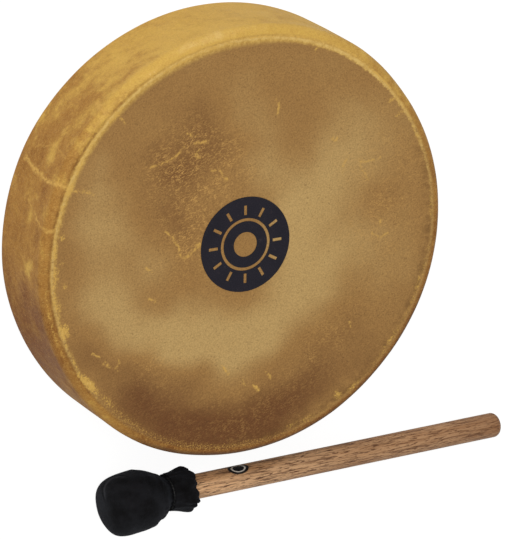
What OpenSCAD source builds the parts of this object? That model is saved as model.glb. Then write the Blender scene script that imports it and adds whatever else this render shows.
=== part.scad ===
// Hoop drum with its beater. The drum lies on its laced rear, face up, and the beater lies beside it.
// The origin is on the drum's axis at the rear plane, +Z is up through the head, and +X runs along the
// beater from its ball to its butt. All sizes are in millimetres.

/* [Drum] */
// Outer diameter of the drum over the skin
drum_d = 317.5; // [280:0.5:400]
// Depth of the drum, from the rear plane to the top of the rim
drum_h = 68; // [50:0.5:90]
// Rounding of the front edge, measured on the skin
rim_r = 7.5; // [6:0.5:10]
// Rounding of the rear edge, measured on the skin
rear_r = 4; // [3:0.5:6]
// Thickness of the dried skin
skin_t = 1.2; // [0.8:0.1:1.6]
// How far the head dips inside the rim
head_dip = 0.8; // [0.4:0.1:1.2]
// Width of the slope from the rim down to the flat of the head
dip_w = 8; // [5:0.5:14]

/* [Hoop] */
// Thickness of one ply of the bentwood hoop
ply_t = 2.9; // [2.2:0.1:3.4]
// Thickness of a glue line between two plies
glue_t = 0.1; // [0.1:0.05:0.2]
// Slant of a ply's scarf joint, in degrees
scarf_a = 14; // [13:1:20]
// Width of the seam at a scarf joint
scarf_gap = 0.2; // [0.1:0.05:0.4]

/* [Roundel] */
// Diameter of the roundel printed on the head
roundel_d = 70; // [40:1:90]
// Thickness of its ink
roundel_t = 0.15; // [0.1:0.05:0.3]
// Width of the bare line round its middle
roundel_line = 2.2; // [1.5:0.1:3]
// Number of bare rays
roundel_rays = 12; // [8:1:16]

/* [Lacing] */
// Width of the skin that is turned in past the hoop's inner face
flap_w = 26; // [22:1:32]
// Rise of that turned-in skin, in degrees
flap_a = 13; // [12:0.5:16]
// Distance of the lace holes from the free edge of the skin
hole_inset = 9; // [7:0.5:10]
// Diameter of a lace hole
hole_d = 4.6; // [4:0.1:5.5]
// Depth of the scallops between the lace holes
scallop_h = 4.5; // [2:0.5:6]
// Diameter of the rawhide lace
lace_d = 3; // [2.4:0.1:3.2]
// Diameter of the knot at each end of a lace
knot_d = 6.4; // [5.6:0.2:8]

/* [Rear grip] */
// Diameter of the grip ring, to the middle of its bar
ring_d = 40; // [36:1:50]
// Diameter of the ring's bar
ring_bar_d = 5; // [4:0.5:6]
// Height of the ring's middle above the rear plane
ring_z = 9; // [8.5:0.1:14]
// Number of turns of lace round each arm of the grip
wrap_turns = 7; // [4:1:9]
// Gap between two turns
wrap_gap = 0.5; // [0.45:0.05:1]

/* [Beater] */
// Diameter of the beater's handle
handle_d = 18.3; // [16.3:0.5:18.8]
// Distance from the ball's widest place to the butt of the handle
handle_reach = 309; // [240:0.5:380]
// Rounding of the butt
butt_r = 4.5; // [2:0.5:6]
// Diameter of the ball over its leather
ball_d = 46.6; // [44:0.1:54]
// Length of the ball in front of its widest place
ball_front = 25.2; // [16.2:0.5:30.2]
// Length over which the ball would close behind its widest place
ball_back = 29.6; // [26.1:0.5:34.6]
// Tilt of the ball on the handle, in degrees
ball_lean = 4; // [0:0.5:6]
// Clear space between the drum's side and the ball
beater_gap = 14.75; // [5.25:0.5:60.25]
// Place of the ball's widest place along the beater's line
ball_x = -65.6; // [-90.1:0.5:-40.1]
// Thickness of the leather cover
cover_t = 1.2; // [0.8:0.1:1.4]
// Outer diameter of the cover where it is tied
neck_d = 22; // [22:0.1:23.6]
// Outer diameter of the ruffle at its fullest
ruffle_d = 33; // [30:0.5:38]
// Length of the ruffle past the tie
ruffle_l = 13; // [11:0.5:26]
// Number of folds in the ruffle
folds = 6; // [5:1:8]
// Diameter of the cord tied round the neck
tie_d = 1.2; // [1:0.1:1.4]
// Number of turns of that cord
tie_turns = 3; // [2:1:4]
// Gap between two turns of that cord
tie_gap = 0.45; // [0.45:0.05:0.6]

/* [Hidden] */

$fn = 120;
overrun = 1;         // how far a cut passes the face that it opens
fit = 0.1;           // clearance between pieces that are shrunk or pressed on each other
lay = 0.3;           // clearance round a lace where it lies on something
tube_sides = 6;      // flat sides of a swept lace or cord
arc_steps = 8;       // straight steps in a rounded corner of an outline

skin_color = [0.76, 0.56, 0.27];
lace_color = [0.80, 0.68, 0.42];
ply_colors = [[0.55, 0.31, 0.18], [0.62, 0.37, 0.22], [0.58, 0.33, 0.19]];
ink_color = [0.14, 0.13, 0.15];
steel_color = [0.66, 0.66, 0.64];
handle_color = [0.70, 0.52, 0.37];
core_color = [0.86, 0.84, 0.78];
cover_color = [0.10, 0.11, 0.12];

// The hoop, worked out from the skin that is shrunk over it
drum_r = drum_d / 2;
hoop_in_skin = skin_t + fit;
hoop_r = drum_r - hoop_in_skin;
ply_n = 3;
ply_step = ply_t + glue_t;
hoop_t = ply_n * ply_step - glue_t;
hoop_inner_r = hoop_r - hoop_t;
dip_slope = head_dip / dip_w;
head_z = drum_h - head_dip;
scarf_l = 2 * ply_t / sin(scarf_a);

// The turned-in skin and its lace holes
arms = 4;
holes_per_arm = 6;
hole_step = 360 / (arms * holes_per_arm);
flap_start_r = hoop_inner_r - fit;
flap_end_r = flap_start_r - flap_w;
hole_r = flap_end_r + hole_inset;
flap_rise = tan(flap_a);
flap_t = skin_t / cos(flap_a);
scallop_share = 0.9;
scallop_r = scallop_share * flap_end_r * sin(hole_step / 2);
lace_r = lace_d / 2;
lace_off = (lace_r + lay) / cos(flap_a);
lace_low = flap_under(hole_r) - lace_off;
lace_high = flap_under(hole_r * cos(hole_step / 2)) + flap_t + lace_off;
knot_r = knot_d / 2;
knot_z = flap_under(hole_r - knot_r) + flap_t + knot_r;

// The grip
ring_r = ring_d / 2;
bar_r = ring_bar_d / 2;
strand_step = lace_d + lay;
strand_lift = strand_step / 2;
loop_r = bar_r + lace_r + lay;
wrap_r = lace_d + lay;
wrap_pitch = lace_d + wrap_gap;
wrap_start = ring_r + loop_r + lace_d;
wrap_end = wrap_start + wrap_turns * wrap_pitch;
bundle_in = wrap_start - lace_r;
bundle_out = wrap_end + lace_d + lace_r;

// The beater
handle_r = handle_d / 2;
ball_r = ball_d / 2;
neck_r = neck_d / 2;
ruffle_r = ruffle_d / 2;
front_bulge = 3.5;   // 2 is an ellipse, and more is blunter
back_bulge = 1.82;
handle_head_share = 0.2;
handle_head = handle_head_share * ball_front;
beater_slope = asin((ball_r - handle_r) / (handle_reach - butt_r));
ball_end = back_reach(neck_r, ball_r, ball_back);
core_off = cover_t + lay;
core_end_r = handle_r + cover_t;
core_end = back_reach(core_end_r, ball_r - core_off, ball_back - core_off);
tie_pitch = tie_d + tie_gap;
tie_start = ball_end + tie_pitch;
tie_steps = 16;      // straight steps in one turn of the tie
tie_r = (neck_r + tie_d / 2 + fit) / cos(180 / tie_steps);
ruffle_start = tie_start + tie_turns * tie_pitch + tie_d;

// Distance behind the ball's widest place at which its radius has shrunk to r
function back_reach(r, widest, back) = back * pow(1 - pow(r / widest, back_bulge), 1 / back_bulge);

// Height of the turned-in skin's underside at radius r
function flap_under(r) = max(0, flap_start_r - r) * flap_rise;

// Points on an arc about c, from angle a0 to a1
function arc(c, r, a0, a1, n = arc_steps) =
    [for (i = [0:n]) let (a = a0 + (a1 - a0) * i / n) c + r * [cos(a), sin(a)]];

function unit(v) = v / norm(v);

// Points of a curve that rounds the corner b between a and c, starting cut away from b
function corner(a, b, c, cut, n = 3) =
    let (p = b + cut * unit(a - b), q = b + cut * unit(c - b))
    [for (i = [0:n]) let (t = i / n) (1 - t) * (1 - t) * p + 2 * t * (1 - t) * b + t * t * q];

// Directions along a path, averaged at each point
function tangents(p) =
    [for (i = [0:len(p) - 1]) unit(p[min(i + 1, len(p) - 1)] - p[max(i - 1, 0)])];

// Sideways directions along a path, carried from point to point without twist
function carried(t, first) =
    [for (i = 0, s = unit(first - (first * t[0]) * t[0]); i < len(t);
          i = i + 1, s = i < len(t) ? unit(s - (s * t[i]) * t[i]) : s) s];

// One unbroken round tube along a path. radii holds one radius for each point of the path.
module tube(path, radii, first) {
    t = tangents(path);
    s = carried(t, first);
    n = len(path);
    points = [for (i = [0:n - 1], k = [0:tube_sides - 1])
        let (a = 360 * k / tube_sides)
        path[i] + radii[i] * (cos(a) * s[i] + sin(a) * cross(t[i], s[i]))];
    sides = [for (i = [0:n - 2], k = [0:tube_sides - 1])
        let (k1 = (k + 1) % tube_sides, a = i * tube_sides, b = a + tube_sides)
        each [[a + k, b + k, b + k1], [a + k, b + k1, a + k1]]];
    ends = [
        [for (k = [0:tube_sides - 1]) k],
        [for (k = [0:tube_sides - 1]) n * tube_sides - 1 - k]
    ];
    polyhedron(points, concat(sides, ends), convexity = 10);
}

function same(value, path) = [for (p = path) value];

// Least distance between the surfaces of turns that lie skip or more points apart
function least_gap(path, d, skip) =
    min([for (i = [0:len(path) - 1 - skip], j = [i + skip:len(path) - 1]) norm(path[i] - path[j])]) - d;

// Section of the bentwood hoop, with both outer edges rounded and its top sloped like the head
function hoop_section() =
    let (
        low = hoop_in_skin,
        high = drum_h - hoop_in_skin,
        top_r = rim_r - hoop_in_skin,
        foot_r = rear_r - hoop_in_skin
    )
    concat(
        arc([hoop_r - foot_r, low + foot_r], foot_r, -90, 0),
        arc([hoop_r - top_r, high - top_r], top_r, 0, 90),
        [
            [hoop_inner_r, high - max(0, hoop_r - top_r - hoop_inner_r) * dip_slope],
            [hoop_inner_r, low]
        ]
    );

// One ply of the hoop, cut from the hoop's section, with the slanted seam of its scarf joint
module ply(k) {
    outer = hoop_r - k * ply_step;
    color(ply_colors[k])
    difference() {
        rotate_extrude($fn = 180)
        intersection() {
            polygon(hoop_section());
            translate([outer - ply_t, 0]) square([ply_t, drum_h]);
        }
        rotate([0, 0, 120 * k + 60])
        translate([outer - ply_t / 2, 0, drum_h / 2])
        rotate([0, 0, scarf_a])
        cube([scarf_gap, scarf_l, drum_h + overrun], center = true);
    }
}

// Section of the skin: the head, the rounded rim, the side, the rear edge and the turned-in flap
function skin_section() =
    let (
        slope_r = drum_r - rim_r,
        flat_r = slope_r - dip_w,
        rear_z = flap_w * flap_rise
    )
    concat(
        [[0, head_z], [flat_r, head_z]],
        arc([slope_r, drum_h - rim_r], rim_r, 90, 0),
        arc([drum_r - rear_r, rear_r], rear_r, 0, -90),
        [
            [flap_start_r, 0],
            [flap_end_r, rear_z],
            [flap_end_r, rear_z + flap_t],
            [flap_start_r, flap_t],
            [drum_r - rear_r, skin_t]
        ],
        arc([drum_r - rear_r, rear_r], rear_r - skin_t, -90, 0),
        arc([slope_r, drum_h - rim_r], rim_r - skin_t, 0, 90),
        [[flat_r, head_z - skin_t], [0, head_z - skin_t]]
    );

module skin_head() {
    flap_top = flap_w * flap_rise + flap_t + overrun;
    color(skin_color)
    difference() {
        rotate_extrude($fn = 180) polygon(skin_section());
        for (i = [0:arms * holes_per_arm - 1]) {
            rotate([0, 0, (i + 0.5) * hole_step])
            translate([hole_r, 0, -overrun])
            cylinder(d = hole_d, h = flap_top + overrun, $fn = 24);
            rotate([0, 0, i * hole_step])
            translate([flap_end_r + scallop_h - scallop_r, 0, -overrun])
            cylinder(r = scallop_r, h = flap_top + overrun, $fn = 48);
        }
    }
}

// Plain ink roundel on the head: a dark disc with a bare ring and bare rays in it
module head_roundel() {
    ink_r = roundel_d / 2;
    ring_mid_share = 0.52;
    hub_share = 0.26;
    ray_in_share = 0.62;
    ray_out_share = 0.82;
    color(ink_color)
    translate([0, 0, head_z])
    difference() {
        cylinder(r = ink_r, h = roundel_t);
        translate([0, 0, -overrun])
        difference() {
            cylinder(r = ink_r * ring_mid_share + roundel_line / 2, h = roundel_t + 2 * overrun);
            cylinder(r = ink_r * ring_mid_share - roundel_line / 2, h = roundel_t + 2 * overrun);
        }
        translate([0, 0, -overrun])
        cylinder(r = ink_r * hub_share, h = roundel_t + 2 * overrun);
        for (i = [0:roundel_rays - 1])
            rotate([0, 0, 360 * i / roundel_rays])
            translate([ink_r * ray_in_share, -roundel_line / 2, -overrun])
            cube([ink_r * (ray_out_share - ray_in_share), roundel_line, roundel_t + 2 * overrun]);
    }
}

// Welded steel ring that all the laces loop round
module grip_ring() {
    color(steel_color)
    translate([0, 0, ring_z])
    rotate_extrude()
    translate([ring_r, 0]) circle(bar_r, $fn = 32);
}

// Lace hole k of one arm, at height z, with the arm along +X
function hole_at(k, z) =
    let (a = (k - (holes_per_arm - 1) / 2) * hole_step)
    [hole_r * cos(a), hole_r * sin(a), z];

// A lace's loop round the ring: in along the top of the arm, round the bar and out along the bottom
function ring_loop(y) =
    let (bar_x = sqrt(ring_r * ring_r - y * y))
    concat(
        [[bundle_out, y, ring_z + strand_lift], [bundle_in, y, ring_z + strand_lift]],
        [for (a = [70:20:290]) [bar_x + loop_r * cos(a), y, ring_z + loop_r * sin(a)]],
        [[bundle_in, y, ring_z - strand_lift], [bundle_out, y, ring_z - strand_lift]]
    );

// A lace turning up through hole k from the strand that ends at point from
function up_through(k, from) =
    let (low = hole_at(k, lace_low), high = hole_at(k, lace_high), next = hole_at(k + 1, lace_high))
    concat(corner(from, low, high, lace_r), corner(low, high, next, lace_r));

// A lace coming down through hole k to the strand that starts at point to
function down_through(k, to) =
    let (low = hole_at(k, lace_low), high = hole_at(k, lace_high), before = hole_at(k - 1, lace_high))
    concat(corner(before, high, low, lace_r), corner(high, low, to, lace_r));

// Heights along a knot as shares of its radius, from its top down, with its radius there as a share
knot_shares = [[1, 0.5], [0.5, 0.87], [0, 1], [-0.5, 0.87], [-0.9, 0.47]];

// The path of one arm's lace: from its first knot down, three times round the ring, and up to its last knot
function lace_path() =
    let (
        loops = [for (j = [-1:1]) ring_loop(j * strand_step)],
        last = len(loops[0]) - 1,
        last_hole = holes_per_arm - 1,
        first_low = hole_at(0, lace_low),
        last_low = hole_at(last_hole, lace_low)
    )
    concat(
        [for (s = knot_shares) hole_at(0, knot_z + s[0] * knot_r)],
        corner(hole_at(0, knot_z), first_low, loops[0][0], lace_r),
        loops[0],
        up_through(1, loops[0][last]),
        down_through(2, loops[1][0]),
        loops[1],
        up_through(3, loops[1][last]),
        down_through(4, loops[2][0]),
        loops[2],
        corner(loops[2][last], last_low, hole_at(last_hole, knot_z), lace_r),
        [for (i = [len(knot_shares) - 1:-1:0]) hole_at(last_hole, knot_z + knot_shares[i][0] * knot_r)]
    );

// The rawhide lace of arm n, swelling into a knot at each end
module lace(n) {
    path = lace_path();
    knots = len(knot_shares);
    radii = concat(
        [for (s = knot_shares) s[1] * knot_r],
        [for (i = [knots:len(path) - 1 - knots]) lace_r],
        [for (i = [knots - 1:-1:0]) knot_shares[i][1] * knot_r]
    );
    color(lace_color)
    rotate([0, 0, 360 / arms * (n - 1)])
    tube(path, radii, [0, 1, 0]);
}

// The path of the lace that is wound round an arm's six strands, turn upon turn along the arm
function wrap_path() =
    let (steps = 3, per_turn = 4 * (steps + 1))
    [for (turn = [0:wrap_turns - 1], q = [0:3], i = [0:steps])
        let (
            a = 90 * (q + i / steps),
            y = (q == 0 || q == 3 ? strand_step : -strand_step) + wrap_r * cos(a),
            z = (q < 2 ? strand_lift : -strand_lift) + wrap_r * sin(a),
            x = wrap_start + wrap_pitch * (turn + (q * (steps + 1) + i) / per_turn)
        )
        [x + lace_r, y, ring_z + z]];

module grip_wrap(n) {
    path = wrap_path();
    echo(str("least gap in a grip winding, mm: ", least_gap(path, lace_d, 12)));
    color(lace_color)
    rotate([0, 0, 360 / arms * (n - 1)])
    tube(path, same(lace_r, path), [0, 1, 0]);
}

// Places what is drawn with its ball's widest place at the origin and its butt along +X
module beater_place() {
    translate([ball_x, -(drum_r + beater_gap + ball_r), ball_r + fit])
    rotate([0, beater_slope, 0])
    children();
}

// Plain wooden handle with a rounded butt, reaching into the ball
module beater_handle() {
    color(handle_color)
    beater_place()
    rotate([0, 90, 0])
    rotate_extrude()
    polygon(concat(
        [[0, -handle_head], [handle_r, -handle_head]],
        arc([handle_r - butt_r, handle_reach - butt_r], butt_r, 0, 90),
        [[0, handle_reach]]
    ));
}

// Outline of the ball from its tip, past its widest place at x 0, to radius end_r, shrunk by off
function ball_outline(off, end_r) =
    let (
        widest = ball_r - off,
        front = ball_front - off,
        back = ball_back - off,
        front_steps = 6,
        back_steps = 4,
        back_a = acos(pow(end_r / widest, back_bulge / 2))
    )
    concat(
        [for (i = [0:front_steps]) let (a = 90 * i / front_steps)
            [-front * pow(cos(a), 2 / front_bulge), widest * pow(sin(a), 2 / front_bulge)]],
        [for (i = [1:back_steps]) let (a = back_a * i / back_steps)
            [back * pow(sin(a), 2 / back_bulge), widest * pow(cos(a), 2 / back_bulge)]]
    );

// A point of the ball, tilted with it about the middle of the neck
function leaned(p) =
    let (x = p[0] - ball_end)
    [ball_end + x * cos(ball_lean) - p[1] * sin(ball_lean), x * sin(ball_lean) + p[1] * cos(ball_lean), p[2]];

// Felt core, bored along the handle and pressed on it
module beater_core() {
    outline = ball_outline(core_off, core_end_r);
    color(core_color)
    beater_place()
    difference() {
        translate([ball_end, 0, 0])
        rotate([0, 0, ball_lean])
        translate([-ball_end, 0, 0])
        rotate([0, 90, 0])
        rotate_extrude()
        polygon(concat([for (p = outline) [p[1], p[0]]], [[0, core_end]]));
        translate([-handle_head - fit, 0, 0])
        rotate([0, 90, 0])
        cylinder(r = handle_r + fit, h = handle_head + fit + core_end + overrun);
    }
}

// One ring of the cover: at x, of radius r, with folds of height fold, its edge waving by wave
function cover_ring(x, r, fold, wave, columns) =
    [for (k = [0:columns - 1])
        let (a = 360 * k / columns, ra = r + fold * cos(folds * a))
        [x + wave * cos((folds - 1) * a), ra * cos(a), ra * sin(a)]];

// Leather cover: a closed bag over the core, tied at the neck, with its free end flared into a ruffle
module beater_cover() {
    columns = 6 * folds;
    ball = ball_outline(0, neck_r);
    inner_ball = ball_outline(cover_t, neck_r - cover_t);
    last = len(ball) - 1;
    flare_shares = [[0.15, 0.4, 0.3], [0.35, 0.8, 0.7], [0.62, 1, 1], [0.84, 0.6, 0.8], [1, 0.1, 0.4]];
    flare_last = len(flare_shares) - 1;
    fold_share = 0.08;
    wave_share = 0.08;
    fold_h = fold_share * ruffle_r;
    wave_l = wave_share * ruffle_l;
    flare_h = ruffle_r - neck_r - fold_h;
    gather = [tie_start, ruffle_start];
    rings = concat(
        [for (i = [1:last]) [for (p = cover_ring(ball[i][0], ball[i][1], 0, 0, columns)) leaned(p)]],
        [for (x = gather) cover_ring(x, neck_r, 0, 0, columns)],
        [for (s = flare_shares) cover_ring(
            ruffle_start + s[0] * ruffle_l, neck_r + s[1] * flare_h,
            s[2] * fold_h, s[0] * wave_l, columns)],
        [for (i = [flare_last:-1:0]) let (s = flare_shares[i]) cover_ring(
            ruffle_start + s[0] * ruffle_l, neck_r - cover_t + s[1] * flare_h,
            s[2] * fold_h, s[0] * wave_l, columns)],
        [for (i = [1:-1:0]) cover_ring(gather[i], neck_r - cover_t, 0, 0, columns)],
        [for (i = [last:-1:1])
            [for (p = cover_ring(inner_ball[i][0], inner_ball[i][1], 0, 0, columns)) leaned(p)]]
    );
    rows = len(rings);
    tip = leaned([ball[0][0], 0, 0]);
    inner_tip = leaned([inner_ball[0][0], 0, 0]);
    points = concat([tip], [for (r = rings) each r], [inner_tip]);
    faces = concat(
        [for (k = [0:columns - 1]) [0, 1 + k, 1 + (k + 1) % columns]],
        [for (j = [0:rows - 2], k = [0:columns - 1])
            let (k1 = (k + 1) % columns, a = 1 + j * columns, b = a + columns)
            each [[a + k, b + k, b + k1], [a + k, b + k1, a + k1]]],
        [for (k = [0:columns - 1])
            let (a = 1 + (rows - 1) * columns)
            [a + k, rows * columns + 1, a + (k + 1) % columns]]
    );
    color(cover_color)
    beater_place()
    polyhedron(points, faces, convexity = 10);
}

// Waxed cord wound round the neck over the leather
function tie_path() =
    [for (i = [0:tie_turns * tie_steps])
        let (a = 360 * i / tie_steps)
        [tie_start + tie_pitch * i / tie_steps, tie_r * cos(a), tie_r * sin(a)]];

module beater_tie() {
    path = tie_path();
    echo(str("least gap in the tie, mm: ", least_gap(path, tie_d, 12)));
    color(cover_color)
    beater_place()
    tube(path, same(tie_d / 2, path), [1, 0, 0]);
}

ply(0);  // hoop_outer_ply
ply(1);  // hoop_core_ply
ply(2);  // hoop_inner_ply
skin_head();
head_roundel();
grip_ring();
lace(1);  // lace_1
lace(2);  // lace_2
lace(3);  // lace_3
lace(4);  // lace_4
grip_wrap(1);  // grip_wrap_1
grip_wrap(2);  // grip_wrap_2
grip_wrap(3);  // grip_wrap_3
grip_wrap(4);  // grip_wrap_4
beater_handle();
beater_core();
beater_cover();
beater_tie();
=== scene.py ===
from math import asin, atan2, cos, degrees, floor, hypot, pi, radians, sin, tan

import bmesh
import bpy
import numpy as np
from mathutils import Matrix, Vector, noise

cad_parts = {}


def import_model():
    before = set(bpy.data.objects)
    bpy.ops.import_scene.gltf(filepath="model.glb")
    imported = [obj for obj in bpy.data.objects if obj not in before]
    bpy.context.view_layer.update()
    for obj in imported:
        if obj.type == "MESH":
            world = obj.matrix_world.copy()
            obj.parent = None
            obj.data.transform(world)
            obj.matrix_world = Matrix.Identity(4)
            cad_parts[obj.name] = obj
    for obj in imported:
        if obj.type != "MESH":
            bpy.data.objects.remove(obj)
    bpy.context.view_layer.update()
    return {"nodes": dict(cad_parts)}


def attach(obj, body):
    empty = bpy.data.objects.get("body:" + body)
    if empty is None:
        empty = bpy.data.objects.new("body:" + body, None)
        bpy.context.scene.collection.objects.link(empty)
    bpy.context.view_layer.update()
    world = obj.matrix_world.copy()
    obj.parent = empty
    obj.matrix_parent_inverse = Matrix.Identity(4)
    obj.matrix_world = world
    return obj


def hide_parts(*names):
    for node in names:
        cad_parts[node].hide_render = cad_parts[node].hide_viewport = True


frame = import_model()
nodes = frame["nodes"]


# The camera stands high over the drum, on the side away from the beater, and far back behind a
# long lens, so that the round head shows with the side of the drum beyond it.
looking = Vector((0.43894802, -0.33098787, -0.83532728))
upwards = Vector((0.1463394, 0.94360005, -0.29699111))
camera = bpy.data.objects.new("camera", bpy.data.cameras.new("camera"))
camera.data.lens = 334.6
camera.data.sensor_width = 36
camera.data.clip_end = 30
camera.matrix_world = Matrix((looking.cross(upwards), upwards, -looking)).transposed().to_4x4()
camera.location = (-1.54397, 1.14869, 3.01666)
bpy.context.scene.collection.objects.link(camera)
bpy.context.scene.camera = camera


# The hoop is three veneers bent round a form and glued one over the other, each closed by a
# slanted scarf joint. It is bare, lightly sanded ash, and shows only inside, past the lacing.
def srgb(red, green, blue):
    """A colour as it is read off a screen, 0 to 255, as the linear colour that a material takes."""
    shares = [c / 255 for c in (red, green, blue)]
    return tuple(c / 12.92 if c <= 0.04045 else ((c + 0.055) / 1.055) ** 2.4 for c in shares) + (1,)


def put(tree, kind, inputs=(), **settings):
    """Adds a node. inputs holds, by socket name or number, a value or another node's output."""
    node = tree.nodes.new("ShaderNode" + kind)
    for name, value in settings.items():
        setattr(node, name, value)
    for socket, value in dict(inputs).items():
        if isinstance(value, bpy.types.NodeSocket):
            tree.links.new(value, node.inputs[socket])
        else:
            node.inputs[socket].default_value = value
    return node


def maths(tree, operation, *values):
    return put(tree, "Math", enumerate(values), operation=operation).outputs[0]


def times(tree, first, *others):
    """The product of two or more values."""
    for value in others:
        first = maths(tree, "MULTIPLY", first, value)
    return first


def steps(tree, value, low, high, bottom=0.0, top=1.0):
    """Goes smoothly from bottom to top while value goes from low to high, which may be the lower."""
    return put(tree, "MapRange", {0: value, 1: low, 2: high, 3: bottom, 4: top},
               interpolation_type="SMOOTHSTEP").outputs[0]


def cloud(tree, point, scale, detail=3.0, roughness=0.5, output=0):
    """Noise of the given scale, as a value round 0.5, or as a colour from output 1."""
    return put(tree, "TexNoise", {"Vector": point, "Scale": scale, "Detail": detail,
                                  "Roughness": roughness}).outputs[output]


def mapped(tree, point, **changes):
    """point, moved, turned or stretched by a Mapping node's Location, Rotation or Scale."""
    return put(tree, "Mapping", {"Vector": point, **changes}).outputs[0]


def tint(tree, share, below, above, mode="MIX"):
    """Mixes two colours, above over below, by share."""
    node = put(tree, "Mix", {0: share, 6: below, 7: above}, data_type="RGBA", blend_type=mode)
    return node.outputs[2]


def group_of(name, takes, gives):
    """Starts a node group. takes and gives hold a name, a socket type and perhaps a usual value."""
    group = bpy.data.node_groups.new(name, "ShaderNodeTree")
    for label, kind, *usual in takes:
        socket = group.interface.new_socket(label, in_out="INPUT", socket_type="NodeSocket" + kind)
        if usual:
            socket.default_value = usual[0]
    for label, kind in gives:
        group.interface.new_socket(label, in_out="OUTPUT", socket_type="NodeSocket" + kind)
    return group, group.nodes.new("NodeGroupInput").outputs, group.nodes.new("NodeGroupOutput")


def finish(name, **constants):
    """Starts a material: its tree, its shader and the piece's own coordinates."""
    material = bpy.data.materials.new(name)
    material.use_nodes = True
    tree = material.node_tree
    tree.nodes.clear()
    shader = put(tree, "BsdfPrincipled", {k.replace("_", " "): v for k, v in constants.items()})
    put(tree, "OutputMaterial", {0: shader.outputs[0]})
    return material, tree, shader, tree.nodes.new("ShaderNodeTexCoord").outputs["Object"]


def relief(tree, shader, height, distance):
    """Raises the surface by height, over a distance in metres."""
    bump = put(tree, "Bump", {"Height": height, "Distance": distance, "Strength": 1.0})
    tree.links.new(bump.outputs[0], shader.inputs["Normal"])


def coat(piece, material):
    piece.data.materials.clear()
    piece.data.materials.append(material)


timber, given, made = group_of(
    "timber", [("Point", "Vector"), ("Bands", "Float", 1.0), ("Pores", "Float", 1.0)],
    [("Figure", "Float"), ("Fibre", "Float"), ("Pore", "Float"), ("Height", "Float")])
figure = cloud(timber, given["Point"], given["Bands"], 4.0, 0.6)
fibre = cloud(timber, given["Point"], times(timber, given["Bands"], 5.0), 3.0, 0.6)
speck = cloud(timber, given["Point"], given["Pores"], 1.0, 0.4)
pore = steps(timber, speck, 0.60, 0.68)
made_height = maths(timber, "SUBTRACT", times(timber, fibre, 0.5), pore)
for label, value in (("Figure", figure), ("Fibre", fibre), ("Pore", pore), ("Height", made_height)):
    timber.links.new(value, made.inputs[label])

hoop_veneer, tree, shader, here = finish("hoop_veneer", Roughness=0.62)
round_the_hoop = mapped(tree, here, Scale=(1.0, 1.0, 14.0))
grain = put(tree, "Group", {"Point": round_the_hoop, "Bands": 22.0, "Pores": 150.0},
            node_tree=timber).outputs
color = tint(tree, steps(tree, grain["Figure"], 0.3, 0.7), srgb(203, 166, 118), srgb(172, 131, 86))
color = tint(tree, steps(tree, grain["Fibre"], 0.35, 0.75, 0.0, 0.35), color, srgb(140, 100, 62))
color = tint(tree, times(tree, grain["Pore"], 0.5), color, srgb(96, 64, 38))
tree.links.new(color, shader.inputs["Base Color"])
relief(tree, shader, grain["Height"], 0.0002)
for node in ("hoop_outer_ply", "hoop_core_ply", "hoop_inner_ply"):
    coat(nodes[node], hoop_veneer)


# The skin is one goat hide, soaked, drawn over the front of the hoop, down its side and round its
# rear edge, and laced tight there. It dried hard, amber and translucent, with the animal's scars.
mm = 0.001
drum_r, drum_h = 158.75, 68.0
skin_t = 1.2
head_z = 67.2
ridge_r, rim_r, rear_r = 151.25, 7.5, 4.0
ramp, finer_r = 8.0, 136
ramp_r = ridge_r - ramp
flap_in, flap_out, flap_t = 122.45, 148.45, 1.2316
flap_lean = radians(13)
flap_rise = tan(flap_lean)
hole_count, hole_r, hole_size, scallop_h = 24, 131.45, 4.6, 4.5


def only(piece):
    bpy.ops.object.select_all(action="DESELECT")
    piece.select_set(True)
    bpy.context.view_layer.objects.active = piece


def settle(piece):
    """Moves the piece's place into its mesh."""
    only(piece)
    bpy.ops.object.transform_apply(location=True, rotation=True, scale=True)


def tidy(gap=1e-6):
    """Merges what lies together and turns the faces out, in edit mode."""
    bpy.ops.mesh.select_all(action="SELECT")
    bpy.ops.mesh.remove_doubles(threshold=gap)
    bpy.ops.mesh.normals_make_consistent(inside=False)


def turned(name, outline, axis, count, closed=False):
    """Draws an outline point by point, in millimetres, and turns it round an axis through the origin."""
    points = [Vector(p) * mm for p in outline]
    bpy.ops.object.select_all(action="DESELECT")
    bpy.ops.mesh.primitive_plane_add(size=mm, location=points[0])
    piece = bpy.context.object
    piece.name = name
    bpy.ops.object.mode_set(mode="EDIT")
    bpy.ops.mesh.merge(type="CENTER")
    for start, end in zip(points, points[1:]):
        bpy.ops.mesh.extrude_region_move(TRANSFORM_OT_translate={"value": end - start})
    bpy.ops.mesh.select_all(action="SELECT")
    if closed:
        mesh = bmesh.from_edit_mesh(piece.data)
        for vertex in mesh.verts:
            vertex.select = len(vertex.link_edges) == 1
        mesh.select_flush_mode()
        bpy.ops.mesh.edge_face_add()
        bpy.ops.mesh.select_all(action="SELECT")
    bpy.ops.mesh.spin(steps=count, angle=2 * pi, center=(0, 0, 0), axis=axis)
    tidy()
    bpy.ops.object.mode_set(mode="OBJECT")
    settle(piece)
    return piece


def corners_of(piece):
    places = np.empty(len(piece.data.vertices) * 3)
    piece.data.vertices.foreach_get("co", places)
    return places.reshape(-1, 3)


def move_corners(piece, places):
    piece.data.vertices.foreach_set("co", np.asarray(places, float).ravel())
    piece.data.update()


def span(low, high, count):
    """count evenly spaced values after low, up to high."""
    return [low + (high - low) * (i + 1) / count for i in range(count)]


def bow(centre_r, centre_z, radius, start, end, count):
    turns = [radians(a) for a in span(start, end, count)]
    return [(centre_r + radius * cos(a), 0, centre_z + radius * sin(a)) for a in turns]


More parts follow.
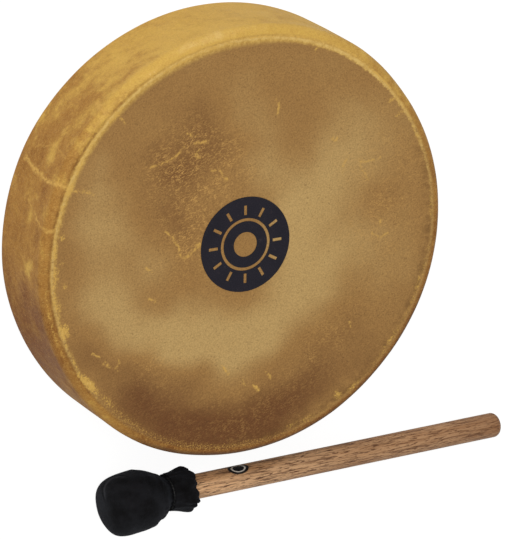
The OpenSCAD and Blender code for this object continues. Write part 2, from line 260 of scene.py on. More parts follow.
# The outer face from the head's middle to the flap, then the inner face back. The head's mesh is
# finer from finer_r on, and from ramp_r the skin rises to the ridge.
around = 360
outline = [(0, 0, head_z), (1, 0, head_z)]
outline += [(r, 0, head_z) for r in span(1, finer_r, 27) + span(finer_r, ramp_r, 8)]
outline += [(r, 0, head_z + (r - ramp_r) / ramp * (drum_h - head_z)) for r in span(ramp_r, ridge_r, 14)]
outline += bow(ridge_r, drum_h - rim_r, rim_r, 90, 0, 28)
outline += [(drum_r, 0, z) for z in span(drum_h - rim_r, rear_r, 30)]
outline += bow(drum_r - rear_r, rear_r, rear_r, 0, -90, 8)
outline += [(r, 0, 0) for r in span(drum_r - rear_r, flap_out, 3)]
inner = [(flap_out, 0, flap_t), (drum_r - rear_r, 0, skin_t)]
inner += bow(drum_r - rear_r, rear_r, rear_r - skin_t, -90, 0, 5)
inner += [(drum_r - skin_t, 0, z) for z in span(rear_r, drum_h - rim_r, 6)]
inner += bow(ridge_r, drum_h - rim_r, rim_r - skin_t, 0, 90, 8)
inner += [(r, 0, head_z - skin_t) for r in [ramp_r] + span(ramp_r, 0, 8)]
skin = turned("skin", outline, (0, 0, 1), around)
lining = turned("skin_lining", inner, (0, 0, 1), around)

# Behind the hoop the skin goes on as a leaning flap, punched for the laces and scalloped between them
outline = [(r, 0, (flap_out - r) * flap_rise) for r in [flap_out] + span(flap_out, flap_in, 8)]
flap = turned("skin_flap", outline + [(r, y, z + flap_t) for r, y, z in outline[::-1]],
              (0, 0, 1), around, closed=True)
bpy.ops.object.select_all(action="DESELECT")
scallop_r = 0.9 * flap_in * sin(pi / hole_count)
cutters = []
for i in range(hole_count):
    for radius, place, turn, sides in ((hole_size / 2, hole_r, i + 0.5, 20),
                                       (scallop_r, flap_in + scallop_h - scallop_r, i, 48)):
        angle = 2 * pi * turn / hole_count
        bpy.ops.mesh.primitive_cylinder_add(
            vertices=sides, radius=radius * mm, depth=30 * mm,
            location=(place * cos(angle) * mm, place * sin(angle) * mm, 0), rotation=(0, 0, angle))
        cutters.append(bpy.context.object)
for cutter in cutters:
    cutter.select_set(True)
bpy.ops.object.join()
cutter = bpy.context.object
only(flap)
punch = flap.modifiers.new("punch", "BOOLEAN")
punch.operation = "DIFFERENCE"
punch.solver = "MANIFOLD"
punch.object = cutter
bpy.ops.object.modifier_apply(modifier=punch.name)
bpy.data.objects.remove(cutter)

only(flap)
bpy.ops.object.mode_set(mode="EDIT")
bpy.ops.mesh.select_all(action="DESELECT")
mesh = bmesh.from_edit_mesh(flap.data)
for face in mesh.faces:
    face.select = all(hypot(v.co.x, v.co.y) > (flap_out - 0.01) * mm for v in face.verts)
bmesh.update_edit_mesh(flap.data)
bpy.ops.mesh.delete(type="ONLY_FACE")
bpy.ops.object.mode_set(mode="OBJECT")
for piece in (flap, lining):
    piece.select_set(True)
skin.select_set(True)
bpy.context.view_layer.objects.active = skin
bpy.ops.object.join()
bpy.ops.object.mode_set(mode="EDIT")
tidy(2e-5)
bpy.ops.object.mode_set(mode="OBJECT")


def ramped(value, low, high):
    """0 below low, 1 above high, and straight between them."""
    return min(1.0, max(0.0, (value - low) / (high - low)))


def bell(distance, wide):
    """1 in the middle, falling softly to 0 at wide."""
    return max(0.0, 1 - (distance / wide) ** 2) ** 2


def lumps(x, y, z, scale=1):
    """Soft noise, between -1 and 1."""
    return noise.noise(Vector((x, y, z)) * scale)


# The hide dried over a hand-cut hoop: its ridge stands proud of a shallow groove, deepest on one
# side, and its rim and side wander by a millimetre. A hollow has its angle round the drum, its width
# in degrees and its depth. A place's reach is its distance over the hide from the head's middle.
hollows = [(118, 30, 0.6), (171, 16, 0.5), (205, 22, 0.7), (242, 22, -0.9), (318, 24, 0.4),
           (58, 24, -1.5), (79, 12, -0.5), (148, 12, -0.4)]
most_inwards = 1.05
groove_at, groove_wide, groove_turn = 152.8, 2.3, 172
reach_of = []
places = corners_of(skin)
for k, (x, y, z) in enumerate(places):
    r, height = hypot(x, y) / mm, z / mm
    over_rim = atan2(max(0.0, r - ridge_r), max(0.0, height - drum_h + rim_r))
    reach = r if r < ridge_r else ridge_r + rim_r * over_rim + max(0.0, drum_h - rim_r - height)
    reach_of.append(reach)
    if r < flap_out - 0.5 and height < 20:
        continue
    turn = degrees(atan2(y, x)) % 360
    inwards = sum(deep * bell((turn - at + 180) % 360 - 180, wide) for at, wide, deep in hollows)
    inwards += 0.3 * (1 + lumps(x, y, z, 14)) + 0.1 * (1 + lumps(x, y, z, 60))
    side = ramped(r, 147, 155) * (0.55 + 0.45 * min(1.0, height / 30))
    facing = (0.5 + 0.5 * cos(radians(turn - groove_turn))) ** 3
    groove = (0.05 + 0.4 * facing) * (1 + 0.9 * lumps(x, y, 0, 75)) * bell(reach - groove_at, groove_wide)
    sag = 0.12 * (1 + lumps(x, y, 0, 22)) * ramped(height, 60, 65)
    share = (r - side * min(inwards, most_inwards) - groove * 0.25) / r if r else 1
    places[k] = (x * share, y * share, z - (sag + groove * 0.8) * mm)
move_corners(skin, places)
bpy.ops.object.shade_smooth_by_angle(angle=radians(40))


def record(piece, name, values):
    """Keeps one value for each corner as an attribute of the piece."""
    attribute = piece.data.attributes.new(name, "FLOAT", "POINT")
    attribute.data.foreach_set("value", np.asarray(values, np.float32))


def soft_spots(x, y, spots):
    """The sum of soft oval spots, each given as its place, size, turn and strength."""
    total = np.zeros(len(x))
    for at_x, at_y, wide, tall, turn, strength in spots:
        a = radians(turn)
        u = ((x - at_x) * cos(a) + (y - at_y) * sin(a)) / wide
        v = ((y - at_y) * cos(a) - (x - at_x) * sin(a)) / tall
        near = np.clip(1 - np.hypot(u, v), 0, 1)
        total += strength * near * near * (3 - 2 * near)
    return total


# Paler and darker areas of the head: place, half width, half height, turn and strength, in
# millimetres and degrees
areas = [
    (-112, 24, 34, 46, 10, 0.6), (-110, -24, 34, 36, -10, 0.6), (-92, -48, 34, 34, 30, 0.75),
    (-58, -64, 42, 32, 0, 0.9), (-26, -72, 44, 34, 0, 0.85), (6, -74, 44, 36, 20, 0.8),
    (22, -60, 34, 34, 0, 0.35), (46, -36, 46, 40, 40, 0.95), (44, 16, 34, 52, -25, 0.8),
    (20, 52, 34, 50, 20, 0.45), (-4, 99, 40, 36, 0, 0.25), (-72, 2, 36, 36, 0, 0.45),
    (-116, 66, 26, 30, 0, 0.35), (72, -8, 46, 36, 0, 0.4), (-14, -104, 36, 16, -10, 0.4),
    (-34, 104, 30, 30, 0, -0.22), (-34, 78, 46, 42, 20, -0.52), (-60, 64, 38, 36, 0, -0.46),
    (-58, 32, 32, 40, 0, -0.43), (-46, -6, 22, 32, 0, -0.1), (92, 62, 60, 60, 0, 0.5),
    (104, -26, 50, 50, 0, 0.35), (60, -84, 48, 28, 40, -0.35), (84, -66, 36, 30, 40, -0.15),
    (72, 29, 40, 56, 0, 0.35), (-36, -47, 56, 24, -10, 0.35), (62, -59, 34, 26, 30, 0.25),
    (67, 60, 36, 30, 0, 0.25), (32, 0, 28, 44, 0, 0.45), (-62, 48, 20, 20, 0, 0.35),
    (-45, 76, 28, 24, 0, 0.2), (-60, 9, 26, 26, 0, -0.25), (-23, 20, 20, 20, 0, -0.25),
    (-75, -76, 30, 24, -30, -0.4), (-40, -98, 44, 26, -10, -0.45), (2, -112, 50, 22, 0, -0.35),
    (20, -92, 26, 18, 0, -0.2), (45, -118, 60, 28, 20, -0.7), (-11, -140, 84, 34, 0, -1.08),
    (-60, -124, 58, 32, -25, -0.85), (-92, -96, 42, 30, -45, -0.6), (-122, -62, 30, 32, -60, -0.4),
    (100, -96, 40, 30, 40, -0.3),
]
# Where the ridge is rubbed to gold: angle round the drum, reach, half width in degrees, half height,
# turn and strength. Over 1 it is worn white.
worn_spots = [
    (105.5, 154.4, 4, 3.4, 0, 0.95), (118.5, 154.6, 4.5, 3.8, 0, 1.1), (128, 154.5, 4, 3, 0, 0.6),
    (113, 153.5, 3, 2, 0, 0.6), (100, 150, 12, 2.4, 0, 0.7), (112, 149.5, 10, 2.4, 0, 0.8),
    (133, 149, 5, 3.5, 0, 1.0), (143, 150, 6, 2.4, 0, 0.6), (163, 149.8, 7, 2.2, 0, 0.6),
    (150, 149.6, 5, 2.4, 0, 0.75), (172, 149.8, 4, 2.4, 0, 0.75), (156, 149.5, 3, 5, 0, 1.1),
    (169.5, 144.5, 1.4, 4, 0, 0.8), (174.5, 149, 2.4, 5, 0, 0.7), (180, 147.5, 5, 5, 0, 0.7),
    (184, 141, 3, 5, 0, 0.35), (177, 143, 2, 4, 0, 0.4), (187, 149.6, 8, 3, 0, 0.6),
    (189.5, 146.5, 3, 5, 0, 0.45), (196.7, 146.5, 3.6, 6, 0, 0.95), (198, 150, 8, 3, 0, 0.6),
    (206.7, 149.6, 5, 3, 0, 0.55), (211, 151.4, 4, 3.2, 0, 0.7), (215, 148.5, 6, 6, 0, 1.0),
    (223, 147, 5, 5, 0, 0.45), (232, 148, 9, 6, 0, 0.25), (243, 148.5, 10, 6, 0, 0.12),
    (257, 149, 14, 6, 0, 0.12), (269, 148, 8, 6, 0, 0.1), (278, 149, 10, 6, 0, 0.12),
    (285, 147, 3, 5, 0, 0.4), (290, 148.6, 5, 5, 0, 0.4), (301, 146.5, 2.2, 5.4, 0, 0.85),
    (306, 149.8, 5, 3.2, 0, 0.65), (322, 148.8, 14, 4, 0, 0.4), (340, 149, 14, 4, 0, 0.4),
    (0, 149.5, 16, 3.4, 0, 0.45), (33, 146, 0.9, 7, 0, 0.7), (38, 147.5, 0.9, 6, 0, 0.8),
    (24, 149.8, 5, 2.4, 0, 0.6), (45, 151.5, 12, 1.6, 0, 0.7), (60, 152.6, 12, 1.3, 0, 1.0),
    (74, 152.0, 9, 1.3, 0, 0.9), (86, 151.0, 10, 1.3, 0, 0.8), (195, 155.6, 22, 2.2, 0, 0.45),
    (68, 146.5, 0.9, 5, 0, 0.6),
]
# Round the drum, as (angle, value): how golden the side is (partly its own colour, partly painted
# light: lighter towards the lamp, darker away from it), at what reach the band along the ridge
# starts and how bright it is (partly rubbed gold, partly a painted highlight), and how dark the
# line outside it, a painted shadow of the groove
side_keys = [
    (0, 0.1), (40, 0.62), (62, 1.0), (85, 1.05), (120, 0.88), (130, 0.6), (142, 0.42), (165, 0.36),
    (180, 0.12), (190, -0.2), (202, -0.7), (212, -0.5), (221, -0.05), (232, 0.05), (245, -0.25),
    (260, -0.55), (320, -0.55), (345, -0.2),
]
band_keys = [
    (0, 149.0), (40, 148.6), (62, 148.0), (76, 146.0), (88, 143.4), (110, 143.2), (128, 143.8),
    (140, 144.8), (160, 145.2), (180, 145.4), (200, 145.8), (225, 146.8), (255, 147.6), (300, 148.4),
]
bright_keys = [
    (0, 0.25), (40, 0.6), (62, 0.9), (90, 1.0), (135, 0.95), (152, 0.68), (180, 0.46), (200, 0.38),
    (225, 0.15), (245, 0.05), (260, 0.0), (300, 0.0), (330, 0.1),
]
groove_shadow_keys = [
    (0, 0.1), (70, 0.0), (110, 0.0), (125, 0.35), (150, 0.85), (185, 0.75), (215, 0.35), (240, 0.15),
    (300, 0.0),
]
where = corners_of(skin) / mm
turns = np.degrees(np.arctan2(where[:, 1], where[:, 0])) % 360
reaches = np.array(reach_of)
record(skin, "reach", reaches)
# Pale and dark spots on the side. The two broad ones just outside the ridge, at 104 and 126 degrees, are
# a painted highlight of the lamp on the rim.
pale_side = soft_spots(turns, reaches, [
    (104, 158, 30, 9, 0, 0.5), (126, 160, 16, 9, 0, 0.3), (214, 158, 34, 12, 0, 0.7),
    (198, 154, 20, 4, 0, 0.3), (150, 182, 7, 10, 0, 0.5), (159, 172, 7, 8, 0, -0.5),
    (167, 184, 6, 9, 0, 0.5), (171, 169, 5, 7, 0, -0.5), (180, 177, 4, 10, 0, 0.55),
    (187, 186, 6, 14, 0, -0.5), (192, 170, 7, 10, 0, -0.45), (198, 180, 5, 12, 0, 0.35),
])
for name, keys, more in (("golden", side_keys, pale_side), ("band_start", band_keys, 0),
                         ("bright", bright_keys, 0), ("line", groove_shadow_keys, 0)):
    record(skin, name, np.interp(turns, *zip(*keys), period=360) + more)
strays = np.array([[lumps(x + shift, y, z, 0.045) for shift in (0, 90)] for x, y, z in where]) * 6
record(skin, "tone", soft_spots(where[:, 0] + strays[:, 0], where[:, 1] + strays[:, 1], areas))
record(skin, "worn", soft_spots(turns, reaches, worn_spots))
record(skin, "veined", soft_spots(where[:, 0], where[:, 1], [
    (-42, 66, 62, 50, 20, 1.1), (-44, 8, 42, 50, 0, 0.9), (-12, 50, 34, 30, 0, 0.8),
    (62, -84, 60, 34, 40, 0.5), (-70, -84, 50, 34, -30, 0.4), (0, -128, 100, 44, 0, 0.35),
    (112, 20, 60, 120, 0, 0.5),
]))
record(skin, "dusty", soft_spots(turns, reaches, [
    (262, 150.6, 66, 6, 0, 0.75), (335, 150, 60, 5, 0, 0.5), (224, 147, 24, 10, 0, 0.4),
    (186, 146, 26, 8, 0, 0.35), (30, 143, 50, 14, 0, 0.25),
]))

hide, given, made = group_of(
    "hide", [("Point", "Vector"), ("Mottle", "Float", 25.0), ("Grain", "Float", 900.0)],
    [("Cloudy", "Float"), ("Fleck", "Float"), ("Pit", "Float"), ("Height", "Float")])
cloudy = cloud(hide, given["Point"], given["Mottle"], 6.0, 0.6)
fine = cloud(hide, given["Point"], given["Grain"], 2.0, 0.6)
coarse = cloud(hide, given["Point"], times(hide, given["Grain"], 0.42), 3.0, 0.7)
fleck = steps(hide, coarse, 0.60, 0.72)
pit = steps(hide, cloud(hide, given["Point"], times(hide, given["Grain"], 0.8), 1.0, 0.5), 0.36, 0.27)
height = maths(hide, "ADD", times(hide, fine, 0.5), times(hide, coarse, 0.5))
height = maths(hide, "SUBTRACT", height, times(hide, pit, 0.3))
for label, value in (("Cloudy", cloudy), ("Fleck", fleck), ("Pit", pit), ("Height", height)):
    hide.links.new(value, made.inputs[label])


def vectors(tree, operation, *values):
    """Works on vectors. The answer is a number where it is a product or a distance."""
    node = put(tree, "VectorMath", enumerate(values), operation=operation)
    return node.outputs["Value" if operation in ("DOT_PRODUCT", "DISTANCE") else "Vector"]


# A healed scratch from one point to another, over what came before it
scratch, given, made = group_of(
    "scratch", [("Before", "Float", 0.0), ("Point", "Vector"), ("Start", "Vector"), ("End", "Vector"),
                ("Width", "Float", 1.0), ("Strength", "Float", 1.0)], [("After", "Float")])
from_start = vectors(scratch, "SUBTRACT", given["Point"], given["Start"])
whole = vectors(scratch, "SUBTRACT", given["End"], given["Start"])
along = put(scratch, "Math", {0: vectors(scratch, "DOT_PRODUCT", from_start, whole),
                              1: vectors(scratch, "DOT_PRODUCT", whole, whole)},
            operation="DIVIDE", use_clamp=True).outputs[0]
nearest = put(scratch, "VectorMath", {0: whole, "Scale": along}, operation="SCALE").outputs[0]
far = vectors(scratch, "DISTANCE", from_start, nearest)
weight = steps(scratch, far, given["Width"], 0.0, 0.0, given["Strength"])
scratch.links.new(maths(scratch, "MAXIMUM", given["Before"], weight), made.inputs["After"])

goat_skin, tree, shader, here = finish("goat_skin", Specular_IOR_Level=0.1)
in_mm = put(tree, "VectorMath", {0: here, "Scale": 1 / mm}, operation="SCALE").outputs[0]
hide_grain = put(tree, "Group", {"Point": here, "Mottle": 26.0, "Grain": 1000.0}, node_tree=hide).outputs
frayed = vectors(tree, "SUBTRACT", cloud(tree, here, 190.0, 3.0, 0.65, output=1), (0.5, 0.5, 0.5))


def kept(name):
    return put(tree, "Attribute", attribute_name=name).outputs["Fac"]


def strayed(place, amount):
    """A place in millimetres, pushed about by noise."""
    return vectors(tree, "MULTIPLY_ADD", frayed, amount, place)


def swayed(tree, value, pattern, amount):
    """value, and amount times how far a pattern is from its middle of 0.5."""
    return maths(tree, "MULTIPLY_ADD", maths(tree, "SUBTRACT", pattern, 0.5), amount, value)


wander = cloud(tree, here, 260.0, 3.0, 0.65)
reach, golden, bright, worn = kept("reach"), kept("golden"), kept("bright"), kept("worn")
tone = swayed(tree, kept("tone"), hide_grain["Cloudy"], 0.65)
head_color = tint(tree, steps(tree, tone, -0.1, 0.95), srgb(159, 120, 70), srgb(190, 157, 101))
head_color = tint(tree, steps(tree, tone, 0.1, -1.05), head_color, srgb(109, 71, 41))

# Fine pale threads where veins ran, close together where the head is dark, and dark pores
lie = put(tree, "Mapping", {"Vector": here, "Rotation": (0, 0, radians(21)), "Scale": (2.6, 1.0, 1.0)},
          vector_type="TEXTURE").outputs[0]
threads = maths(tree, "ABSOLUTE", maths(tree, "SUBTRACT", cloud(tree, lie, 560.0, 4.0, 0.6), 0.5))
threads = times(tree, steps(tree, threads, 0.035, 0.008),
                steps(tree, cloud(tree, here, 260.0, 3.0, 0.6), 0.42, 0.55))
strokes = steps(tree, cloud(tree, lie, 1000.0, 2.0, 0.5), 0.54, 0.66)
threads = maths(tree, "MAXIMUM", threads, times(tree, strokes, 0.6))
thick = times(tree, steps(tree, cloud(tree, here, 60.0, 3.0, 0.6), 0.34, 0.62, 0.35, 1.0),
              steps(tree, kept("veined"), 0.0, 0.9, 0.14, 1.0))
head_color = tint(tree, times(tree, threads, thick), head_color, srgb(206, 160, 92))
head_color = tint(tree, times(tree, hide_grain["Pit"], 0.3), head_color, srgb(98, 68, 38))
fine_tone = steps(tree, cloud(tree, here, 950.0, 2.0, 0.6), 0.3, 0.7)
grey = put(tree, "CombineColor", {0: fine_tone, 1: fine_tone, 2: fine_tone}).outputs[0]
head_color = tint(tree, 0.13, head_color, grey, "OVERLAY")

# The side runs from gold on the far side to brown, softly clouded and finely speckled. The change
# round the drum is partly the hide's own colour and partly painted light: lighter on the side
# towards the lamp, darker on the side away from it.
dapple = swayed(tree, 0.0, cloud(tree, here, 34.0, 5.0, 0.6), 2.0)
dapple = swayed(tree, dapple, cloud(tree, here, 115.0, 5.0, 0.7), 1.7)
dapple = times(tree, dapple, steps(tree, golden, 0.4, 0.95, 1.0, 0.45))
side_tone = maths(tree, "ADD", dapple, golden)
side_color = tint(tree, steps(tree, side_tone, 0.35, 1.1), srgb(168, 121, 58), srgb(212, 171, 84))
side_color = tint(tree, steps(tree, side_tone, 1.15, 2.1), side_color, srgb(232, 198, 130))
side_color = tint(tree, steps(tree, side_tone, 0.45, -0.8), side_color, srgb(124, 74, 32))
blotch = steps(tree, cloud(tree, here, 170.0, 6.0, 0.75), 0.47, 0.68, 0.0, 0.6)
blotch = times(tree, blotch, steps(tree, golden, 0.6, 0.0, 0.16, 1.0))
side_color = tint(tree, blotch, side_color, srgb(124, 80, 38))
side_color = tint(tree, times(tree, hide_grain["Fleck"], 0.28), side_color, srgb(228, 190, 112))
side_color = tint(tree, times(tree, hide_grain["Pit"], 0.16), side_color, srgb(116, 80, 40))
side_color = tint(tree, 0.1, side_color, grey, "OVERLAY")
side_color = tint(tree, times(tree, threads, 0.3), side_color, srgb(222, 178, 98))

# Between them the ridge has a golden band, partly rubbed gold and partly a painted highlight along
# the ridge, brightest towards the lamp, with a painted shadow of the groove as a dark line outside it
on_side = steps(tree, swayed(tree, reach, wander, 2.2), 150.8, 153.6)
skin_color = tint(tree, on_side, head_color, side_color)
rough = steps(tree, bright, 0.45, 1.0, 8.0, 2.6)
roughly = swayed(tree, reach, cloud(tree, here, 420.0, 6.0, 0.75), rough)
whole = maths(tree, "MULTIPLY_ADD", bright, 0.45, cloud(tree, here, 340.0, 6.0, 0.85))
band = times(tree, steps(tree, roughly, kept("band_start"), 149.6),
             steps(tree, swayed(tree, reach, wander, 3.4), 153.4, 151.0),
             steps(tree, whole, 0.55, 0.76), steps(tree, bright, 0.0, 0.8, 0.3, 0.9))
band_color = tint(tree, steps(tree, cloud(tree, here, 420.0, 5.0, 0.75), 0.3, 0.7),
                  srgb(190, 146, 68), srgb(228, 188, 102))
# A painted highlight along the crest of the ridge
crest_highlight = times(tree, steps(tree, swayed(tree, reach, wander, 1.5), 148.2, 150.0),
              steps(tree, reach, 152.0, 150.6),
              steps(tree, cloud(tree, here, 300.0, 4.0, 0.7), 0.4, 0.62, 0.25, 0.65))
band_color = tint(tree, crest_highlight, band_color, srgb(238, 204, 128))
skin_color = tint(tree, band, skin_color, band_color)
# Painted shadow in the groove outside the ridge: a dark line, strongest where the groove is deepest
groove_shadow_reach = swayed(tree, reach, wander, 1.6)
line = times(tree, steps(tree, groove_shadow_reach, 151.2, 152.6), steps(tree, groove_shadow_reach, 154.4, 153.0),
             steps(tree, cloud(tree, here, 220.0, 5.0, 0.7), 0.38, 0.6, 0.1, 0.8), kept("line"))
skin_color = tint(tree, line, skin_color, srgb(118, 80, 38))

# Painted shade along the side's edge towards the beater, away from the lamp
edge_shade = vectors(tree, "DOT_PRODUCT", here, (0.342, -0.94, 0.0))
edge_shade = times(tree, steps(tree, edge_shade, 0.085, 0.12), steps(tree, reach, 153.0, 157.5, 0.0, 0.75))
skin_color = tint(tree, edge_shade, skin_color, srgb(84, 56, 30))

# Worn spots break up into grains of gold. Towards the beater, just inside the ridge, the head's
# edge is darkened in blotches: painted shade of the slope up to the ridge.
ragged = swayed(tree, worn, cloud(tree, here, 460.0, 6.0, 0.85), 4.4)
gold = times(tree, steps(tree, ragged, 0.3, 0.8), steps(tree, worn, 0.0, 0.35, 0.0, 0.9))
skin_color = tint(tree, gold, skin_color, srgb(216, 173, 88))
dust = maths(tree, "MULTIPLY_ADD", kept("dusty"), 0.2, cloud(tree, here, 900.0, 4.0, 0.75))
dust = times(tree, steps(tree, dust, 0.62, 0.74), steps(tree, kept("dusty"), 0.0, 0.4, 0.0, 0.65))
skin_color = tint(tree, dust, skin_color, srgb(206, 162, 84))
skin_color = tint(tree, steps(tree, ragged, 1.0, 1.7, 0.0, 0.8), skin_color, srgb(234, 200, 128))
# Painted shade inside the ridge, on the side away from the lamp, broken up by noise
ridge_shade_side = vectors(tree, "DOT_PRODUCT", here, (4.9, -4.4, 0.0))
ridge_shade = times(tree, steps(tree, reach, 141.0, 147.0), steps(tree, reach, 150.8, 149.0),
                  steps(tree, ridge_shade_side, 0.15, 0.75, 0.0, 0.5),
                  steps(tree, cloud(tree, here, 150.0, 4.0, 0.7), 0.36, 0.66))
skin_color = tint(tree, ridge_shade, skin_color, srgb(92, 62, 34))

# Scars on the head, in millimetres across it, and on the side, round it and up it. Each has its
# width, its strength and the points of its line.
head_scars = [
    (1.7, 1.0, (-74, 67), (-58, 71), (-48, 78)), (2.3, 1.0, (-40, 80), (-29, 80)),
    (1.6, 1.0, (-46, 88), (-38, 85)), (1.7, 1.0, (-36, 75), (-40, 71), (-36, 69)),
    (1.6, 1.0, (-28, 58), (-21, 58), (-15, 50)), (1.6, 1.0, (-63, 19), (-55, 11), (-49, -3)),
    (2.4, 1.0, (-49, -3), (-43, -1), (-35, 7)), (1.8, 1.0, (-100, 109), (-94, 102)),
    (1.9, 1.0, (-137, 59), (-126, 58), (-116, 53)), (1.6, 1.0, (24, 103), (26, 97), (24, 92)),
    (1.8, 1.0, (68, 69), (71, 67), (73, 68)), (1.5, 0.7, (81, 53), (77, 45), (78, 40)),
    (1.5, 0.7, (91, 48), (98, 47), (107, 49)), (1.5, 0.7, (93, 41), (98, 34)),
    (1.5, 0.5, (91, 48), (93, 41)), (1.5, 0.7, (102, -6), (108, -12), (115, -8)),
    (1.7, 1.0, (108, 1), (108, -2)), (1.5, 1.0, (118, 93), (124, 86), (130, 81)),
    (1.7, 1.0, (-119, -63), (-114, -66)), (1.7, 1.0, (-110, -71), (-106, -74)),
    (1.6, 1.0, (-99, -71), (-100, -78)), (1.4, 1.0, (-77, -5), (-73, -9)),
    (1.4, 1.0, (-75, -29), (-68, -32)), (2.0, 1.2, (-17, -88), (-13, -95)),
    (1.5, 1.0, (85, -71), (85, -76)), (2.1, 1.2, (8, -108), (13, -112)),
    (1.4, 0.9, (-2, -101), (1, -106)), (1.5, 0.9, (18, -98), (22, -104)),
]
side_scars = [
    (2.6, 1.0, (130, 53), (127, 67)), (2.8, 1.2, (71, 10), (68, 25), (65, 47), (67, 68)),
    (1.5, 0.45, (79, 18), (83, 21), (89, 43), (86, 62)), (2.2, 0.8, (40, 46), (34, 57), (33, 67)),
    (1.5, 0.5, (46, 31), (44, 39)),
]
split = put(tree, "SeparateXYZ", {0: in_mm}).outputs
turn = maths(tree, "ARCTAN2", split[1], times(tree, split[0], -1.0))
unrolled = put(tree, "CombineXYZ", {0: times(tree, turn, drum_r), 1: split[2]}).outputs[0]
unrolled = strayed(unrolled, (7.0, 7.0, 0.0))
across = put(tree, "SeparateXYZ", {0: strayed(in_mm, (6.0, 6.0, 6.0))}).outputs
across = put(tree, "CombineXYZ", {0: across[0], 1: across[1]}).outputs[0]
gaps = cloud(tree, here, 330.0, 3.0, 0.7)
head_share = times(tree, steps(tree, reach, 152.0, 150.0, 0.0, 0.85), steps(tree, gaps, 0.38, 0.6))
side_share = times(tree, on_side, steps(tree, gaps, 0.32, 0.56, 0.12, 0.85))
for scars, place, share in ((head_scars, across, head_share), (side_scars, unrolled, side_share)):
    scar = 0.0
    for width, strength, *points in scars:
        for start, end in zip(points, points[1:]):
            scar = put(tree, "Group", {
                "Before": scar, "Point": place, "Start": (*start, 0), "End": (*end, 0),
                "Width": width, "Strength": strength}, node_tree=scratch).outputs[0]
    skin_color = tint(tree, times(tree, scar, share), skin_color, srgb(212, 168, 88))
tree.links.new(skin_color, shader.inputs["Base Color"])
tree.links.new(steps(tree, hide_grain["Cloudy"], 0.3, 0.7, 0.46, 0.6), shader.inputs["Roughness"])
relief(tree, shader, hide_grain["Height"], 0.00028)
coat(skin, goat_skin)
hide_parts("skin_head")
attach(skin, "drum")


# The roundel is printed on the dry head in one pass of near-black ink, thin enough that the grain
# of the hide shows through it. Its ring, hub and rays are left bare.
roundel_ink, tree, shader, here = finish("roundel_ink", Specular_IOR_Level=0.15)
grain = put(tree, "Group", {"Point": here, "Mottle": 60.0, "Grain": 900.0}, node_tree=hide).outputs
color = tint(tree, steps(tree, grain["Cloudy"], 0.3, 0.7), srgb(20, 18, 28), srgb(29, 26, 35))
color = tint(tree, times(tree, grain["Fleck"], 0.22), color, srgb(78, 68, 70))
tree.links.new(color, shader.inputs["Base Color"])
tree.links.new(steps(tree, grain["Cloudy"], 0.3, 0.7, 0.46, 0.6), shader.inputs["Roughness"])
relief(tree, shader, grain["Height"], 0.0005)
coat(nodes["head_roundel"], roundel_ink)


# The grip ring is a welded ring of zinc-plated steel bar. The player's hand wears the plating dull.
ring_steel, tree, shader, here = finish("ring_steel", Metallic=1.0)
worn = cloud(tree, here, 160.0, 5.0, 0.65)
rubbed = cloud(tree, mapped(tree, here, Scale=(1.0, 1.0, 8.0)), 700.0, 2.0, 0.6)
tree.links.new(tint(tree, steps(tree, worn, 0.35, 0.7), srgb(196, 196, 192), srgb(150, 149, 144)),
               shader.inputs["Base Color"])
tree.links.new(steps(tree, worn, 0.3, 0.7, 0.28, 0.52), shader.inputs["Roughness"])
relief(tree, shader, rubbed, 0.00006)
coat(nodes["grip_ring"], ring_steel)


# The laces are strips of rawhide, twisted while wet. Each arm of the cross is one lace: a knot above
# its first hole, three times in round the ring and back through the flap, and a last knot.
lace_r, knot_r = 1.5, 3.2
coil_r, coil_top, coil_drop, coil_turns = 1.65, 1.6, 3.0, 2.2
ring_r, ring_z, loop_r = 20.0, 9.0, 4.3
strand_step, bundle_in, bundle_out = 3.3, 25.8, 56.3
lace_gap = (lace_r + 0.3) / cos(flap_lean)
lace_low = (flap_out - hole_r) * flap_rise - lace_gap
lace_high = (flap_out - hole_r * cos(pi / hole_count)) * flap_rise + flap_t + lace_gap
knot_z = (flap_out - (hole_r - knot_r)) * flap_rise + flap_t + knot_r


def hole_at(k, height):
    angle = (k - 2.5) * 2 * pi / hole_count
    return Vector((hole_r * cos(angle), hole_r * sin(angle), height))


def rounded(before, corner, after, cut, count=6):
    """A curve that rounds a corner, starting and ending cut away from it."""
    start = corner + cut * (before - corner).normalized()
    end = corner + cut * (after - corner).normalized()
    shares = [i / count for i in range(count + 1)]
    return [(1 - t) ** 2 * start + 2 * t * (1 - t) * corner + t * t * end for t in shares]


def knot_at(k, downwards):
    """The turns of a knot over hole k, from its top down into the hole, or back up."""
    centre = hole_at(k, knot_z)
    coil = []
    for t in [0] + span(0, 1, 30):
        a = 2 * pi * coil_turns * t
        coil.append(centre + Vector((coil_r * cos(a), coil_r * sin(a), coil_top - coil_drop * t)))
    return coil if downwards else coil[::-1]


def evenly(points, gap):
    """The same path with a point every gap millimetres."""
    points = [Vector(p) for p in points]
    lengths = np.cumsum([0] + [(b - a).length for a, b in zip(points, points[1:])])
    wanted = np.linspace(0, lengths[-1], max(2, int(lengths[-1] / gap) + 1))
    columns = [np.interp(wanted, lengths, [p[i] for p in points]) for i in range(3)]
    return [Vector(p) for p in zip(*columns)]


